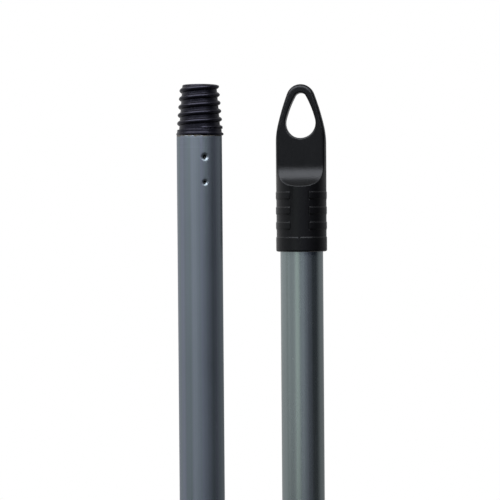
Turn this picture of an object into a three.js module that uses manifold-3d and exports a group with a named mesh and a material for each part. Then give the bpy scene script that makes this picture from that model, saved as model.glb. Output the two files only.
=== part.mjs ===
// A pair of identical screw-in tool handles, held upright side by side and head to tail.
// Each handle is a thin-walled painted tube with a conical threaded tip crimped into one end
// and a hanging cap pushed over the other. Handle A has its thread up, handle B has its cap up.
//
// Millimetres, +Z up. The origin is on handle A's axis, halfway along its tube, where a wall
// clip grips it. The pair is looked at along +Y, with +X to the right.

import * as THREE from "three";
import { mergeVertices } from "three/addons/utils/BufferGeometryUtils.js";
import Module from "manifold-3d";

const wasm = await Module();
wasm.setup();

// ---------------------------------------------------------------- driving dimensions

// Fits: what pushes in or over clears its neighbour all round, and what seats stops just short.
const FIT_GAP = 0.3;
const SEAT_GAP = 0.3;

// Tube
const TUBE_OUTER_D = 22;
const TUBE_WALL = 0.4;
const TUBE_LENGTH = 1120;

// Crimp dimples: rows along the tube below the tip, the same on the front and the back
const DIMPLE_MOUTH_D = 3.6;
const DIMPLE_DEPTH = 1.3;
const DIMPLE_FIRST_ROW = 10.3; // from the tube's end
const DIMPLE_ROW_PITCH = 12.2;
const DIMPLE_ROWS = 2;
const DIMPLE_TURN = 15.5; // degrees, from the front of the handle towards +X

// Threaded tip
const SPIGOT_LENGTH = 36;
const SPIGOT_CHAMFER = 1;
const SPIGOT_CORE_D = 12.4;
const SPIGOT_CORE_TOP = 5; // solid left above the cored hole
const FLANGE_OVERHANG = 0.5; // beyond the tube's outside
const FLANGE_THICKNESS = 1.2;
const THREAD_LENGTH = 23.25; // from the flange to the flat top
const THREAD_ROOT_BASE_D = 20.3; // at the flange
const THREAD_ROOT_TOP_D = 16.5; // at the flat top
const THREAD_DEPTH_BASE = 1.15;
const THREAD_DEPTH_TOP = 1.2;
const THREAD_PITCH = 3.96;
const THREAD_FOOT_WIDTH = 2.6; // along the axis, at the root
const THREAD_CREST_WIDTH = 1.1;
const THREAD_SUNK_START = 0.3; // how far below the root the thread's start is sunk
const THREAD_START_TURN = 268; // degrees from +X, where the thread starts to rise
const THREAD_START_HEIGHT = 1.61; // its middle there, above the flange
const THREAD_RUN_IN = 60; // degrees in which it rises to its full depth

// Hanging cap, measured up from the edge of its mouth
const CAP_COVER = 30.8; // length of tube inside the cap
const CAP_WALL = 1.53;
const CAP_FLARE = 0.13; // how much wider the shoulder is than the grip, on each side
const CAP_FLARE_HEIGHT = 41.8;
const COLLAR_HEIGHT = 7.35;
const COLLAR_EDGE_RADIUS = 0.9;
const RIB_PROUD = 0.36; // ribs and collar, beyond the grip
const RIB_COUNT = 3;
const RIB_WIDTH = 4.05;
const RIB_PITCH = 7.72;
const RIB_FIRST = 11; // lower edge of the lowest rib
const RIB_SLANT = 1.05; // height of the slanted lower flank
const RIB_ROOT = 0.8; // how deep a rib is rooted in the grip's wall
const PANEL_WIDTH = 9.8; // smooth panel between the ribs, front and back
const SCOOP_RADIUS = 13;
const SCOOP_SLOPE = 66; // degrees off the cap's axis, on the slope below the arc
const PADDLE_START = 45.5; // where the scoop's arc meets the flat of the paddle
const PADDLE_BASE_THICKNESS = 9.9;
const PADDLE_TOP_THICKNESS = 7.7;
const SHOULDER_START = 53.6;
const SHOULDER_RADIUS = 51.5;
const SHOULDER_SWEEP = 13.2; // degrees
const LOOP_LENGTH = 32.2; // from the shoulder's start to the top of the loop
const LOOP_TOP_RADIUS = 7.3;
const LOOP_BAR = 4.4; // above the eye
const EYE_TOP_RADIUS = 3.2;
const EYE_BOTTOM_RADIUS = 7.75;
const EYE_CENTRES = 12.25; // between the eye's top and bottom arcs
const EYE_SIDE_RADIUS = 52;

// How handle B is placed beside handle A
const PAIR_SPACING = 50.8; // along X
const PAIR_SETBACK = 54; // along Y, away from the viewer
const PAIR_STAGGER = 3.4; // height of B's cap above A's tip
const PAIR_TURN = -6; // degrees, of handle B about its own axis

// How finely round things are faceted
const ROUND_SIDES = 28;
const ARC_STEPS = 7;
const DIMPLE_SIDES = 12;
const DIMPLE_RINGS = 6;

// ---------------------------------------------------------------- sizes that follow

const tubeRadius = TUBE_OUTER_D / 2;
const boreRadius = tubeRadius - TUBE_WALL;
const spigotRadius = boreRadius - FIT_GAP;
const flangeRadius = tubeRadius + FLANGE_OVERHANG;
const flangeTop = SEAT_GAP + FLANGE_THICKNESS;
const tipTop = flangeTop + THREAD_LENGTH;

const socketRadius = tubeRadius + FIT_GAP;
const socketDepth = CAP_COVER + SEAT_GAP;
const gripRadius = socketRadius + CAP_WALL;
const shoulderRadius = gripRadius + CAP_FLARE;
const collarRadius = gripRadius + RIB_PROUD;
const capLength = SHOULDER_START + LOOP_LENGTH;

const dimpleRadius = (DIMPLE_MOUTH_D ** 2 / 4 + DIMPLE_DEPTH ** 2) / (2 * DIMPLE_DEPTH);
const dimpleCentre = tubeRadius - DIMPLE_DEPTH + dimpleRadius;

const rad = THREE.MathUtils.degToRad;
const lerp = THREE.MathUtils.lerp;
const MARGIN = 2; // how far a cutting shape runs past what it cuts

// ---------------------------------------------------------------- solids

// A closed geometry as a solid that can be joined and cut. Triangles that a lathe closes to
// nothing on its axis are dropped.
function solidOf(geometry) {
  const bare = geometry.clone();
  bare.deleteAttribute("normal");
  bare.deleteAttribute("uv");
  const merged = mergeVertices(bare, 1e-4);
  const corners = merged.index.array;
  const kept = [];
  for (let i = 0; i < corners.length; i += 3) {
    const [a, b, c] = corners.slice(i, i + 3);
    if (a !== b && b !== c && c !== a) kept.push(a, b, c);
  }
  return new wasm.Manifold(
    new wasm.Mesh({
      numProp: 3,
      vertProperties: merged.attributes.position.array,
      triVerts: new Uint32Array(kept),
    }),
  );
}

function geometryOf(solid) {
  const mesh = solid.getMesh();
  const geometry = new THREE.BufferGeometry();
  geometry.setAttribute("position", new THREE.BufferAttribute(mesh.vertProperties, 3));
  geometry.setIndex(new THREE.BufferAttribute(mesh.triVerts, 1));
  geometry.computeVertexNormals();
  return geometry;
}

// A profile of [radius, height] points, from the bottom up, turned about Z.
function turned(profile) {
  const points = profile.map(([radius, height]) => new THREE.Vector2(radius, height));
  return solidOf(new THREE.LatheGeometry(points, ROUND_SIDES).rotateX(Math.PI / 2));
}

function rod(radius, bottom, top) {
  return turned([
    [0, bottom],
    [radius, bottom],
    [radius, top],
    [0, top],
  ]);
}

// A shape thickened evenly about its own plane, still drawn in XY.
function thickened(shape, thickness) {
  const options = { depth: thickness, bevelEnabled: false, curveSegments: ARC_STEPS };
  return new THREE.ExtrudeGeometry(shape, options).translate(0, 0, -thickness / 2);
}

// A shape of (x, height), thickened along Y.
function frontPlate(shape, thickness) {
  return solidOf(thickened(shape, thickness).rotateX(Math.PI / 2));
}

// A shape of (depth, height), thickened along X.
function sidePlate(shape, thickness) {
  return solidOf(thickened(shape, thickness).rotateX(Math.PI / 2).rotateZ(Math.PI / 2));
}

// ---------------------------------------------------------------- tube and its dimples

// Calls place(angle, height) for each dimple, with the angle from +X in radians and the height
// from the tube's end.
function forEachDimple(place) {
  for (let row = 0; row < DIMPLE_ROWS; row += 1) {
    const height = -(DIMPLE_FIRST_ROW + row * DIMPLE_ROW_PITCH);
    for (const side of [0, 180]) {
      place(rad(DIMPLE_TURN - 90 + side), height);
    }
  }
}

// One ball at each dimple, larger than the dimple's own by the extra radius.
function dimpleBalls(extraRadius) {
  const balls = [];
  forEachDimple((angle, height) => {
    const ball = new THREE.SphereGeometry(dimpleRadius + extraRadius, DIMPLE_SIDES, DIMPLE_RINGS);
    ball.rotateZ(Math.PI / 2).translate(dimpleCentre, 0, height).rotateZ(angle);
    balls.push(solidOf(ball));
  });
  return balls.reduce((all, ball) => all.add(ball));
}

// The tube hangs below its threaded end, which is at height 0. Each dimple is pressed in at its
// full wall, so it stands out inside.
function tubeSolid() {
  const shell = turned([
    [boreRadius, -TUBE_LENGTH],
    [tubeRadius, -TUBE_LENGTH],
    [tubeRadius, 0],
    [boreRadius, 0],
    [boreRadius, -TUBE_LENGTH],
  ]);
  const crimped = rod(tubeRadius, -SPIGOT_LENGTH, -SEAT_GAP);
  const bulges = dimpleBalls(TUBE_WALL).intersect(crimped);
  return shell.add(bulges).subtract(dimpleBalls(0));
}

// ---------------------------------------------------------------- threaded tip

// How far up the thread a height is, from 0 at the flange to 1 at the flat top.
const alongThread = (height) => (height - flangeTop) / THREAD_LENGTH;

function rootRadius(height) {
  return lerp(THREAD_ROOT_BASE_D, THREAD_ROOT_TOP_D, alongThread(height)) / 2;
}

function crestRadius(height) {
  const depth = lerp(THREAD_DEPTH_BASE, THREAD_DEPTH_TOP, alongThread(height));
  return rootRadius(height) + depth;
}

// The thread as one closed ridge of four-cornered sections along a conical right-hand helix. It
// rises out of the core along its run-in, ends above the top, and its foot is buried in the core.
function threadRidge() {
  const foot = THREAD_FOOT_WIDTH / 2;
  const crest = THREAD_CREST_WIDTH / 2;
  const corners = [
    { offset: -foot, radiusAt: rootRadius, buried: THREAD_DEPTH_BASE },
    { offset: -crest, radiusAt: crestRadius, buried: 0 },
    { offset: crest, radiusAt: crestRadius, buried: 0 },
    { offset: foot, radiusAt: rootRadius, buried: THREAD_DEPTH_BASE },
  ];
  // The sections stand on the same spokes as the corners of what is turned.
  const spoke = (2 * Math.PI) / ROUND_SIDES;
  const startAngle = rad(THREAD_START_TURN);
  const middleAt = (angle) =>
    flangeTop + THREAD_START_HEIGHT + ((angle - startAngle) / (2 * Math.PI)) * THREAD_PITCH;
  const first = Math.floor(startAngle / spoke);
  const positions = [];
  let rows = 0;
  for (let step = first; middleAt(step * spoke) < tipTop + THREAD_FOOT_WIDTH; step += 1) {
    const angle = step * spoke;
    const risen = THREE.MathUtils.clamp((angle - startAngle) / rad(THREAD_RUN_IN), 0, 1);
    const sunk = (1 - risen) * (THREAD_DEPTH_BASE + THREAD_SUNK_START);
    for (const corner of corners) {
      const height = middleAt(angle) + corner.offset;
      const radius = corner.radiusAt(height) - corner.buried - sunk;
      positions.push(radius * Math.cos(angle), radius * Math.sin(angle), height);
    }
    rows += 1;
  }

  const n = corners.length;
  const index = [];
  for (let row = 0; row + 1 < rows; row += 1) {
    for (let i = 0; i < n; i += 1) {
      const a = row * n + i;
      const b = row * n + ((i + 1) % n);
      index.push(a, a + n, b, b, a + n, b + n);
    }
  }
  const lastRow = (rows - 1) * n;
  index.push(0, 1, 2, 0, 2, 3);
  index.push(lastRow, lastRow + 2, lastRow + 1, lastRow, lastRow + 3, lastRow + 2);

  const ridge = new THREE.BufferGeometry();
  ridge.setAttribute("position", new THREE.Float32BufferAttribute(positions, 3));
  ridge.setIndex(index);
  return solidOf(ridge);
}

// The tip stands with the tube's end at height 0.
function tipSolid() {
  const spigotEnd = -SPIGOT_LENGTH;
  const body = turned([
    [0, spigotEnd],
    [spigotRadius - SPIGOT_CHAMFER, spigotEnd],
    [spigotRadius, spigotEnd + SPIGOT_CHAMFER],
    [spigotRadius, SEAT_GAP],
    [flangeRadius, SEAT_GAP],
    [flangeRadius, flangeTop],
    [rootRadius(flangeTop), flangeTop],
    [rootRadius(tipTop), tipTop],
    [0, tipTop],
  ]);
  const core = rod(SPIGOT_CORE_D / 2, spigotEnd - MARGIN, tipTop - SPIGOT_CORE_TOP);
  const withinThread = rod(flangeRadius + MARGIN, SEAT_GAP + FLANGE_THICKNESS / 2, tipTop);
  const thread = threadRidge().intersect(withinThread);
  const pockets = dimpleBalls(TUBE_WALL + FIT_GAP);
  return body.subtract(core).subtract(pockets).add(thread);
}

// ---------------------------------------------------------------- hanging cap

// The grip and shoulder as one turned body, before the scoops and the loop are cut from it.
function capBlank() {
  const collarEdge = [];
  for (let step = 0; step <= ARC_STEPS / 2; step += 1) {
    const angle = (step / (ARC_STEPS / 2)) * (Math.PI / 2);
    collarEdge.push([
      collarRadius - COLLAR_EDGE_RADIUS * (1 - Math.sin(angle)),
      COLLAR_EDGE_RADIUS * (1 - Math.cos(angle)),
    ]);
  }
  return turned([
    [0, 0],
    ...collarEdge,
    [collarRadius, COLLAR_HEIGHT],
    [gripRadius, COLLAR_HEIGHT],
    [shoulderRadius, CAP_FLARE_HEIGHT],
    [shoulderRadius, capLength + MARGIN],
    [0, capLength + MARGIN],
  ]);
}

// The ribs go round the grip's two sides and stop at the smooth panels.
function capRibs() {
  const rooted = gripRadius - RIB_ROOT;
  const rings = [];
  for (let rib = 0; rib < RIB_COUNT; rib += 1) {
    const bottom = RIB_FIRST + rib * RIB_PITCH;
    const top = bottom + RIB_WIDTH;
    rings.push(
      turned([
        [rooted, bottom],
        [gripRadius, bottom],
        [collarRadius, bottom + RIB_SLANT],
        [collarRadius, top],
        [rooted, top],
        [rooted, bottom],
      ]),
    );
  }
  const panelHeight = RIB_COUNT * RIB_PITCH;
  const panels = new THREE.BoxGeometry(PANEL_WIDTH, 2 * collarRadius + MARGIN, panelHeight);
  panels.translate(0, 0, RIB_FIRST - MARGIN / 2 + panelHeight / 2);
  return rings.reduce((all, ring) => all.add(ring)).subtract(solidOf(panels));
}

// The cap seen from the front: full width up to the shoulder, then one arc for the shoulder, a
// flatter arc for the loop's side and the loop's round top, each tangent to the next.
function capOutline() {
  const sweep = rad(SHOULDER_SWEEP);
  const across = new THREE.Vector2(Math.cos(sweep), Math.sin(sweep));
  const loopTop = new THREE.Vector2(0, capLength - LOOP_TOP_RADIUS);
  const shoulder = new THREE.Vector2(shoulderRadius - SHOULDER_RADIUS, SHOULDER_START);
  const handOver = shoulder.clone().addScaledVector(across, SHOULDER_RADIUS);
  const reach = handOver.clone().sub(loopTop);
  const sideRadius =
    (reach.lengthSq() - LOOP_TOP_RADIUS ** 2) / (2 * (reach.dot(across) - LOOP_TOP_RADIUS));
  const side = handOver.clone().addScaledVector(across, -sideRadius);
  const sideEnd = loopTop.clone().sub(side).angle();

  const past = collarRadius + MARGIN;
  const outline = new THREE.Shape();
  outline.moveTo(-past, -MARGIN);
  outline.lineTo(past, -MARGIN);
  outline.lineTo(past, SHOULDER_START);
  outline.absarc(shoulder.x, shoulder.y, SHOULDER_RADIUS, 0, sweep);
  outline.absarc(side.x, side.y, sideRadius, sweep, sideEnd);
  outline.absarc(loopTop.x, loopTop.y, LOOP_TOP_RADIUS, sideEnd, Math.PI - sideEnd);
  outline.absarc(-side.x, side.y, sideRadius, Math.PI - sideEnd, Math.PI - sweep);
  outline.absarc(-shoulder.x, shoulder.y, SHOULDER_RADIUS, Math.PI - sweep, Math.PI);
  outline.lineTo(-past, SHOULDER_START);
  return outline;
}

// The cap seen from the side: full depth up the grip, then on each face the slope and the arc of
// the thumb scoop, and the paddle's taper to the loop's top.
function capProfile() {
  const slope = rad(SCOOP_SLOPE);
  const flat = PADDLE_BASE_THICKNESS / 2;
  const arcDepth = flat + SCOOP_RADIUS;
  const slopeDepth = arcDepth - SCOOP_RADIUS * Math.cos(slope);
  const slopeHeight = PADDLE_START - SCOOP_RADIUS * Math.sin(slope);
  const past = collarRadius + MARGIN;
  const outHeight = slopeHeight - (past - slopeDepth) / Math.tan(slope);
  const top = capLength + MARGIN;
  const topDepth = lerp(
    flat,
    PADDLE_TOP_THICKNESS / 2,
    (top - PADDLE_START) / (capLength - PADDLE_START),
  );

  const profile = new THREE.Shape();
  profile.moveTo(-past, -MARGIN);
  profile.lineTo(past, -MARGIN);
  profile.lineTo(past, outHeight);
  profile.absarc(arcDepth, PADDLE_START, SCOOP_RADIUS, Math.PI + slope, Math.PI, true);
  profile.lineTo(topDepth, top);
  profile.lineTo(-topDepth, top);
  profile.absarc(-arcDepth, PADDLE_START, SCOOP_RADIUS, 0, -slope, true);
  profile.lineTo(-past, outHeight);
  return profile;
}

// The drop-shaped hanging eye: a small arc on top and a large one below, joined on each side by
// a long arc that touches both from outside.
function eyeOutline() {
  const topHeight = capLength - LOOP_BAR - EYE_TOP_RADIUS;
  const bottomHeight = topHeight - EYE_CENTRES;
  const toBottom = EYE_SIDE_RADIUS - EYE_BOTTOM_RADIUS;
  const toTop = EYE_SIDE_RADIUS - EYE_TOP_RADIUS;
  const sideHeight =
    (toBottom ** 2 - toTop ** 2 + topHeight ** 2 - bottomHeight ** 2) / (2 * EYE_CENTRES);
  const sideOffset = Math.sqrt(toBottom ** 2 - (sideHeight - bottomHeight) ** 2);
  const low = Math.atan2(bottomHeight - sideHeight, sideOffset);
  const high = Math.atan2(topHeight - sideHeight, sideOffset);

  const eye = new THREE.Shape();
  eye.absarc(0, bottomHeight, EYE_BOTTOM_RADIUS, Math.PI - low, 2 * Math.PI + low);
  eye.absarc(-sideOffset, sideHeight, EYE_SIDE_RADIUS, low, high);
  eye.absarc(0, topHeight, EYE_TOP_RADIUS, high, Math.PI - high);
  eye.absarc(sideOffset, sideHeight, EYE_SIDE_RADIUS, Math.PI - high, Math.PI - low);
  return eye;
}

// The cap stands with the edge of its mouth at height 0.
function capSolid() {
  const across = 2 * (collarRadius + MARGIN);
  return capBlank()
    .intersect(frontPlate(capOutline(), across))
    .intersect(sidePlate(capProfile(), across))
    .add(capRibs())
    .subtract(frontPlate(eyeOutline(), across))
    .subtract(rod(socketRadius, -MARGIN, socketDepth));
}

// ---------------------------------------------------------------- handles

const bluishGrey = { color: 0x78828b, roughness: 0.4, metalness: 0.95 };
const greenishGrey = { color: 0x8b9597, roughness: 0.25, metalness: 0.95 };
const blackPlastic = { color: 0x111112, roughness: 0.35, metalness: 0 };

const tubeGeometry = geometryOf(tubeSolid());
const tipGeometry = geometryOf(tipSolid());
const capGeometry = geometryOf(capSolid());

function piece(name, geometry, finish) {
  const mesh = new THREE.Mesh(geometry, new THREE.MeshStandardMaterial(finish));
  mesh.name = name;
  return mesh;
}

// One handle with its thread up and the middle of its tube at the origin. The cap is turned over
// and covers the tube's lower end.
function handle(name, paint) {
  const tube = piece(`${name}_tube`, tubeGeometry, paint);
  const tip = piece(`${name}_threaded_tip`, tipGeometry, blackPlastic);
  const cap = piece(`${name}_hanging_cap`, capGeometry, blackPlastic);
  tube.position.z = TUBE_LENGTH / 2;
  tip.position.z = TUBE_LENGTH / 2;
  cap.position.z = CAP_COVER - TUBE_LENGTH / 2;
  cap.rotation.y = Math.PI;
  return new THREE.Group().add(tube, tip, cap);
}

const handleA = handle("handle_a", bluishGrey);

// Handle B is the same handle turned over, so its cap is up.
const handleB = handle("handle_b", greenishGrey);
const topOfA = TUBE_LENGTH / 2 + tipTop;
const topOfB = TUBE_LENGTH / 2 + capLength - CAP_COVER;
handleB.rotation.set(0, Math.PI, rad(PAIR_TURN), "ZYX");
handleB.position.set(PAIR_SPACING, PAIR_SETBACK, topOfA + PAIR_STAGGER - topOfB);

const pair = new THREE.Group().add(handleA, handleB);
export default pair;
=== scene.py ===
"""A pair of screw-in tool handles, held upright side by side and head to tail.

Each handle is a thin painted tube with a conical threaded tip crimped into one end and a
moulded hanging cap pushed over the other. Everything is in metres, in the frame's own axes.
"""

import math
from typing import NamedTuple

import bmesh
import bpy
import numpy as np
from mathutils import Matrix, Vector


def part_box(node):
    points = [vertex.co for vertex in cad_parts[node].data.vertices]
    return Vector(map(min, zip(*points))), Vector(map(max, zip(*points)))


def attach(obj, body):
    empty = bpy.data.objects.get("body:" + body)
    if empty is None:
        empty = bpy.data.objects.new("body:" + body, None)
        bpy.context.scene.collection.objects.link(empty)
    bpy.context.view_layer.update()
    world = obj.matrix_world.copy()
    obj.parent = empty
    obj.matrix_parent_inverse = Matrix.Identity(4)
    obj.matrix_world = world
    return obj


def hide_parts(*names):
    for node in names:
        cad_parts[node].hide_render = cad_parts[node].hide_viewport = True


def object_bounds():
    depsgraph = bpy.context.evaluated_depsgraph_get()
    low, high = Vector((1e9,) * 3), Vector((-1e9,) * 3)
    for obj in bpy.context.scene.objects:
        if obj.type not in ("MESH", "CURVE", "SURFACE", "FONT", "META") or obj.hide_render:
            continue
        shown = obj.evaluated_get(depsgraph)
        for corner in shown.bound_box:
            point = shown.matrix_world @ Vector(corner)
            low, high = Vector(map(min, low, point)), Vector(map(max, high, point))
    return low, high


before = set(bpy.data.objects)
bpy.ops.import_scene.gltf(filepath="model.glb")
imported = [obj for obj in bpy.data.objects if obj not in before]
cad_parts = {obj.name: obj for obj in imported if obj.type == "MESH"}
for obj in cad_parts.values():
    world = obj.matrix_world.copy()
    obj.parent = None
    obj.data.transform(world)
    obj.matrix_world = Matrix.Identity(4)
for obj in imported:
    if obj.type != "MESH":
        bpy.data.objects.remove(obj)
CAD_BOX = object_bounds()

bl_info = {
    "name": "Screw-in tool handles",
    "version": (1, 0, 0),
    "blender": (4, 5, 0),
    "location": "3D View > Sidebar > Handles",
    "description": "Dresses a pair of threaded tool handles with their fine surfaces",
    "category": "Object",
}

MM = 0.001

# ---- what the frame says

BOX = {name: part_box(name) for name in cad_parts}


def middle(node, axis):
    low, high = BOX[node]
    return (low[axis] + high[axis]) / 2


def extent(node, axis):
    low, high = BOX[node]
    return high[axis] - low[axis]


TUBE_A = "handle_a_tube"
TIP_A = "handle_a_threaded_tip"
CAP_A = "handle_a_hanging_cap"
TUBE_DIAMETER = extent(TUBE_A, 0)
TUBE_LENGTH = extent(TUBE_A, 2)
FLANGE_DIAMETER = extent(TIP_A, 0)
COLLAR_DIAMETER = extent(CAP_A, 0)
CAP_LENGTH = extent(CAP_A, 2)
TIP_HEIGHT = BOX[TIP_A][1][2] - BOX[TUBE_A][1][2]
SPIGOT_LENGTH = BOX[TUBE_A][1][2] - BOX[TIP_A][0][2]
CAP_COVER = BOX[CAP_A][1][2] - BOX[TUBE_A][0][2]
FLOOR_HEIGHT = CAD_BOX[0][2]

# Handle B is turned this far about its own axis.
TURN_OF_B = math.radians(-6)


def placed(handle, height, turned_over):
    """The place of a piece on a handle's axis, at a height along the row's Z."""
    tube = f"handle_{handle}_tube"
    place = Matrix.Translation((middle(tube, 0), middle(tube, 1), height))
    if handle == "b":
        place = place @ Matrix.Rotation(TURN_OF_B, 4, "Z")
    if turned_over:
        place = place @ Matrix.Rotation(math.pi, 4, "Y")
    return place


def threaded_end(handle):
    """Origin at the tube's threaded end, +Z out through the thread."""
    low, high = BOX[f"handle_{handle}_tube"]
    turned_over = handle == "b"
    return placed(handle, low[2] if turned_over else high[2], turned_over)


def cap_mouth(handle):
    """Origin at the mouth of the cap, +Z towards the hanging eye."""
    low, high = BOX[f"handle_{handle}_hanging_cap"]
    turned_over = handle == "a"
    return placed(handle, high[2] if turned_over else low[2], turned_over)


# ---- sizes and colours


def number(name, default, description, **settings):
    return bpy.props.FloatProperty(name=name, default=default, description=description, **settings)


def length(name, millimetres, description):
    settings = {"min": 0, "subtype": "DISTANCE", "unit": "LENGTH", "precision": 5}
    return number(name, millimetres * MM, description, **settings)


def angle(name, degrees, description):
    return number(name, math.radians(degrees), description, subtype="ANGLE", unit="ROTATION")


def share(name, default, description):
    return number(name, default, description, min=0, max=1, subtype="FACTOR")


def colour(name, default, description):
    settings = {"size": 3, "min": 0, "max": 1, "subtype": "COLOR"}
    return bpy.props.FloatVectorProperty(name=name, default=default, description=description, **settings)


class TubeSizes(bpy.types.PropertyGroup):
    diameter: length("Diameter", TUBE_DIAMETER / MM, "Outside of the painted tube")
    wall: length("Wall", 0.4, "Thickness of the sheet")
    edge_radius: length("Edge radius", 0.1, "Rounding of the cut end")
    swage_depth: length("Swage depth", 0.04, "How far the end is drawn in")
    swage_length: length("Swage length", 1.3, "Length of tube that is drawn in")
    dimple_first: length("First dimple", 10.3, "From the tube's end to the first row")
    dimple_pitch: length("Dimple pitch", 12.2, "Between the rows of dimples")
    dimple_turn: angle("Dimple turn", 15.5, "From the front of the handle to the dimples")
    dimple_depth: length("Dimple depth", 1.5, "Depth of the first row's dimples")
    dimple_radius: length("Dimple radius", 1.15, "Half width of the first row's dimples")
    second_dimple: share("Second row", 0.82, "Size of the second row's dimples to the first's")


class TipSizes(bpy.types.PropertyGroup):
    flange_thickness: length("Flange thickness", 1.2, "Flange that seats on the tube's end")
    seat_gap: length("Seat gap", 0.3, "Between the tube's end and the flange")
    fit_gap: length("Fit gap", 0.3, "Between the spigot and the tube's bore")
    root_base: length("Root at the flange", 20.3, "Diameter of the thread's core at the flange")
    root_top: length("Root at the top", 16.5, "Diameter of the thread's core at the top")
    depth_base: length("Depth at the flange", 1.2, "Height of the thread at the flange")
    depth_top: length("Depth at the top", 1.22, "Height of the thread at the top")
    pitch: length("Pitch", 3.96, "Rise of the thread in one turn")
    bead_width: length("Bead width", 2.5, "Width of the rounded thread along the axis")
    start_turn: angle("Thread start", 268, "Where the thread starts to rise, from +X")
    start_height: length("Start height", 1.61, "Middle of the thread's start above the flange")
    run_in: angle("Run-in", 60, "Turn in which the thread rises to its full depth")
    core_diameter: length("Cored hole", 12.4, "Hole moulded into the spigot from below")
    core_roof: length("Roof", 5, "Solid left between the cored hole and the top")


class CapSizes(bpy.types.PropertyGroup):
    fit_gap: length("Fit gap", 0.3, "Between the tube and the cap's socket")
    collar_height: length("Collar height", 7.35, "Band at the mouth")
    rib_proud: length("Rib height", 0.36, "Ribs and collar beyond the grip")
    flare: length("Flare", 0.13, "Shoulder beyond the grip, on each side")
    flare_height: length("Flare end", 41.8, "Height at which the flare ends")
    rib_first: length("First rib", 11, "Lower edge of the lowest rib")
    rib_width: length("Rib width", 4.05, "Width of a rib along the axis")
    rib_pitch: length("Rib pitch", 7.72, "Between the ribs")
    rib_slant: length("Rib slant", 1.05, "Length of a rib's slanted lower flank")
    panel_width: length("Panel width", 9.8, "Smooth panel between the ribs")
    scoop_radius: length("Scoop radius", 13, "Arc of the thumb scoop")
    scoop_slope: angle("Scoop slope", 66, "Slope below the arc, off the axis")
    paddle_start: length("Paddle start", 45.5, "Where the arc meets the flat")
    paddle_base: length("Paddle base", 9.9, "Thickness where the flat starts")
    paddle_top: length("Paddle top", 7.7, "Thickness at the top of the loop")
    shoulder_start: length("Shoulder start", 53.6, "Where the sides start to draw in")
    shoulder_radius: length("Shoulder radius", 51.5, "Arc of the shoulder")
    shoulder_sweep: angle("Shoulder sweep", 13.2, "Turn of the shoulder's arc")
    loop_radius: length("Loop radius", 7.3, "Arc of the loop's top")
    loop_bar: length("Loop bar", 4.4, "Bar above the eye")
    eye_top: length("Eye top", 3.2, "Radius of the eye's narrow end")
    eye_bottom: length("Eye bottom", 7.75, "Radius of the eye's wide end")
    eye_centres: length("Eye centres", 12.25, "Between the eye's two end arcs")
    eye_side: length("Eye side", 52, "Radius of the eye's long sides")
    eye_rim: length("Eye rim", 0.7, "Rounding of the eye's edges")


class Finishes(bpy.types.PropertyGroup):
    # Paint A and Paint B are copies of one paint: B's is painted lighter and greener, as painted light,
    # and A's darker, as painted shade.
    paint_a: colour("Paint A", (0.190, 0.222, 0.260), "Bluish grey paint of handle A")
    paint_b: colour("Paint B", (0.258, 0.302, 0.308), "Greenish grey paint of handle B")
    plastic_tip: colour("Tip plastic", (0.002, 0.002, 0.003), "Black of the threaded tip")
    plastic_cap: colour("Cap plastic", (0.002, 0.002, 0.0022), "Black of the hanging cap")
    bare_metal: colour("Bare metal", (0.13, 0.122, 0.107), "Cut edge of the tube")
    roughness_a: share("Roughness A", 0.42, "Roughness of handle A's paint")
    roughness_b: share("Roughness B", 0.27, "Roughness of handle B's paint")
    streaks_a: share("Streaks A", 1, "Strength of the draw lines under handle A's paint")
    streaks_b: share("Streaks B", 0.3, "Strength of the draw lines under handle B's paint")
    flake: share("Metal flake", 0.95, "How much of the paint's gloss is metal flake")


class StageSizes(bpy.types.PropertyGroup):
    camera_distance: length("Camera distance", 900, "From the camera to handle A's axis")
    camera_aside: length("Camera aside", 24.17, "Camera to the right of handle A")
    camera_below_tip: length("Camera below the tip", 58.84, "Below the top of handle A")
    camera_roll: angle("Camera roll", 0.445, "Clockwise lean of the camera")
    camera_pitch: angle("Camera pitch", -1.36, "Tilt of the camera, down if negative")
    camera_lens: number("Lens", 133.5, "Focal length in millimetres", min=1)


# ---- shader arithmetic


class Wire:
    """One socket of a shader. Arithmetic on it adds the Math nodes that work it out."""

    def __init__(self, shader, socket):
        self.shader = shader
        self.socket = socket

    def math(self, operation, *values):
        inputs = dict(enumerate(values))
        return self.shader.node("ShaderNodeMath", {"operation": operation}, inputs)

    def __add__(self, other):
        return self.math("ADD", self, other)

    def __radd__(self, other):
        return self.math("ADD", other, self)

    def __sub__(self, other):
        return self.math("SUBTRACT", self, other)

    def __rsub__(self, other):
        return self.math("SUBTRACT", other, self)

    def __mul__(self, other):
        return self.math("MULTIPLY", self, other)

    def __rmul__(self, other):
        return self.math("MULTIPLY", other, self)

    def __abs__(self):
        return self.math("ABSOLUTE", self)

    def rise(self, start, end):
        """0 up to start, 1 from end on, smooth between; start may be the larger."""
        low, high = min(start, end), max(start, end)
        ramp = self.shader.node(
            "ShaderNodeMapRange",
            {"interpolation_type": "SMOOTHSTEP"},
            {"Value": self, "From Min": low, "From Max": high},
        )
        return ramp if start < end else 1 - ramp


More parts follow.
